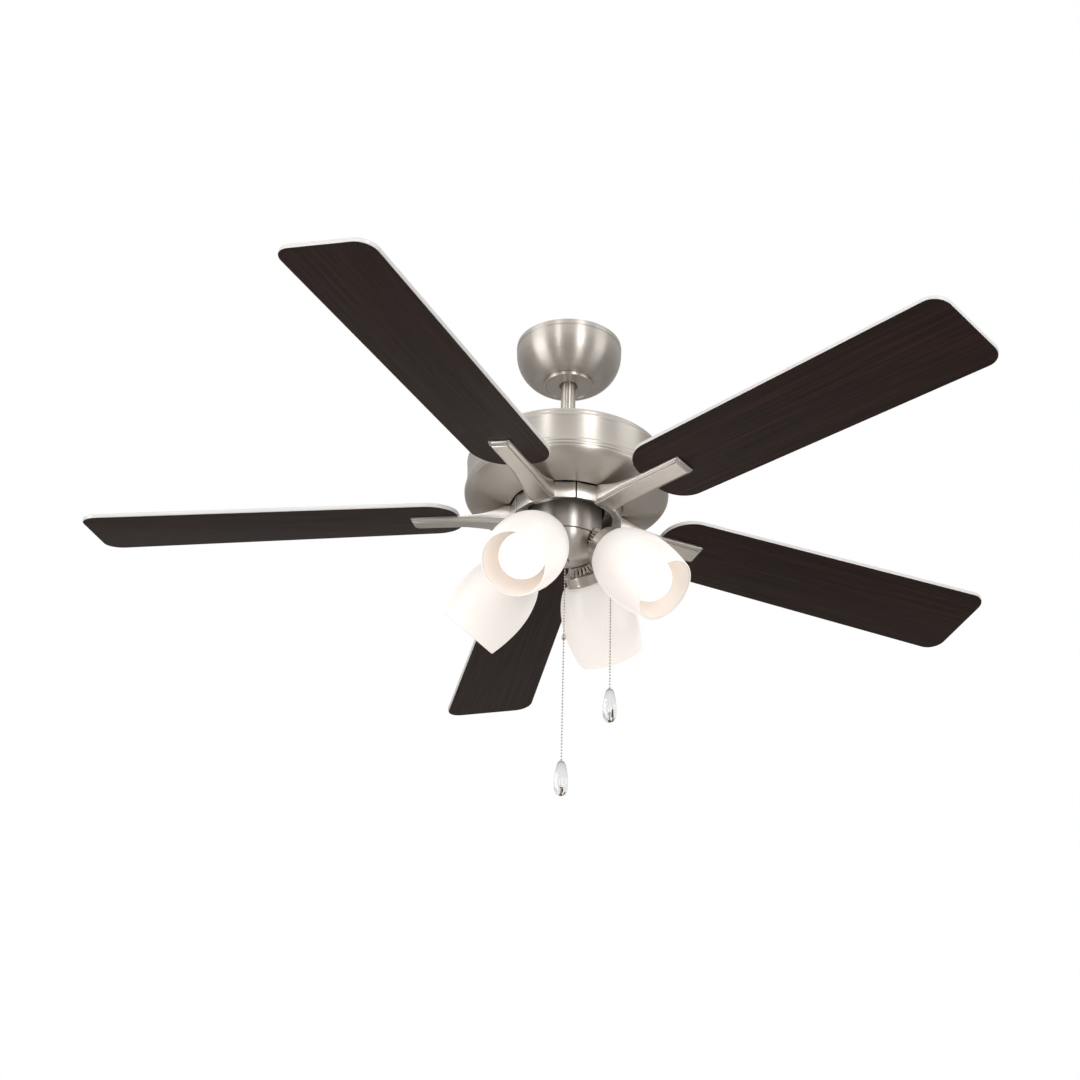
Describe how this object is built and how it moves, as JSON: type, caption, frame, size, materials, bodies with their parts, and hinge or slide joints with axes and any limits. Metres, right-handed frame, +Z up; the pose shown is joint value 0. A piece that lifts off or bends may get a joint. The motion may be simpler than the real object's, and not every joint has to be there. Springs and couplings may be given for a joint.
{
  "type": "ceiling fan with light",
  "caption": "Downrod ceiling fan with flat pitched blades on cast irons, a stepped motor cover, and a light kit of tilted opal glass shades with pull chains.",
  "frame": {"origin": "the ceiling plane on the fan's axis, at the centre of the hanger bracket's top plate", "axes": "+Z up, away from the room; the blades turn about Z; +X and +Y horizontal"},
  "size_m": [1.2555, 1.2645, 0.6753],
  "materials": {
    "brushed_nickel": "brushed warm nickel plate",
    "cast_nickel": "satin plated casting",
    "blade_veneer": "dark espresso woodgrain underside, satin; silver top face",
    "opal_glass": "frosted opal glass, lit from within",
    "bulb": "frosted white lamp",
    "socket_ceramic": "glazed",
    "zinc_steel": "zinc plated",
    "chain_steel": "nickel plated beads",
    "core_steel": "stacked laminations",
    "copper_wire": "enamelled copper wire",
    "cast_aluminium": "die cast",
    "flywheel_rubber": "matt",
    "ball_plastic": "matt moulded",
    "black_plastic": "moulded",
    "clear_acrylic": "clear polished"
  },
  "bodies": {
    "ceiling_mount": {"hanger_bracket": "zinc_steel", "canopy": "brushed_nickel", "canopy_ring": "brushed_nickel"},
    "tilt_ball": {"hanger_ball": "ball_plastic", "hanger_pin": "zinc_steel"},
    "fan_body": {"downrod": "brushed_nickel", "coupling": "zinc_steel", "coupling_pin": "zinc_steel", "coupling_cover": "brushed_nickel", "motor_housing": "brushed_nickel", "motor_bowl": "brushed_nickel", "motor_shaft": "zinc_steel", "stator_core": "core_steel", "stator_winding": "copper_wire", "switch_plate": "zinc_steel", "switch_housing": "brushed_nickel", "light_pan": "brushed_nickel", "speed_switch": "black_plastic", "light_switch": "black_plastic", "capacitor": "black_plastic", "chain_bushing": "brushed_nickel", "chain_guide": "brushed_nickel", "fitter_1": "brushed_nickel", "lamp_socket_1": "socket_ceramic", "shade_1": "opal_glass", "bulb_1": "bulb", "fitter_2": "brushed_nickel", "lamp_socket_2": "socket_ceramic", "shade_2": "opal_glass", "bulb_2": "bulb", "fitter_3": "brushed_nickel", "lamp_socket_3": "socket_ceramic", "shade_3": "opal_glass", "bulb_3": "bulb", "fitter_4": "brushed_nickel", "lamp_socket_4": "socket_ceramic", "shade_4": "opal_glass", "bulb_4": "bulb"},
    "rotor": {"lower_bearing": "zinc_steel", "upper_bearing": "zinc_steel", "rotor_bottom_shell": "cast_aluminium", "rotor_top_shell": "cast_aluminium", "flywheel": "flywheel_rubber", "blade_iron_1": "cast_nickel", "blade_1": "blade_veneer", "blade_iron_2": "cast_nickel", "blade_2": "blade_veneer", "blade_iron_3": "cast_nickel", "blade_3": "blade_veneer", "blade_iron_4": "cast_nickel", "blade_4": "blade_veneer", "blade_iron_5": "cast_nickel", "blade_5": "blade_veneer"},
    "fan_pull": {"fan_chain_upper": "chain_steel", "fan_chain_connector": "brushed_nickel", "fan_chain_lower": "chain_steel", "fan_pendant": "clear_acrylic"},
    "light_pull": {"light_chain": "chain_steel", "light_pendant": "clear_acrylic"},
    "reverse_slider": {"reverse_switch": "black_plastic"}
  },
  "joints": [
    {"name": "ball_tilt", "type": "hinge", "parent": "ceiling_mount", "child": "tilt_ball", "pos_m": [0, 0, -0.036], "axis": [1, 0, 0], "range_deg": [-3, 3]},
    {"name": "pin_swing", "type": "hinge", "parent": "tilt_ball", "child": "fan_body", "pos_m": [0, 0, -0.036], "axis": [0, 1, 0], "range_deg": [-3, 3]},
    {"name": "rotor_spin", "type": "hinge", "parent": "fan_body", "child": "rotor", "pos_m": [0, 0, -0.271], "axis": [0, 0, 1], "continuous": true},
    {"name": "fan_chain_pull", "type": "slide", "parent": "fan_body", "child": "fan_pull", "axis": [0, 0, -1], "range_m": [0, 0.012], "stiffness_N_per_m": 400, "springref_m": -0.004},
    {"name": "light_chain_pull", "type": "slide", "parent": "fan_body", "child": "light_pull", "axis": [0, 0, -1], "range_m": [0, 0.012], "stiffness_N_per_m": 400, "springref_m": -0.004},
    {"name": "reverse_slide", "type": "slide", "parent": "fan_body", "child": "reverse_slider", "axis": [0, 0, 1], "range_m": [0, 0.006]}
  ]
}
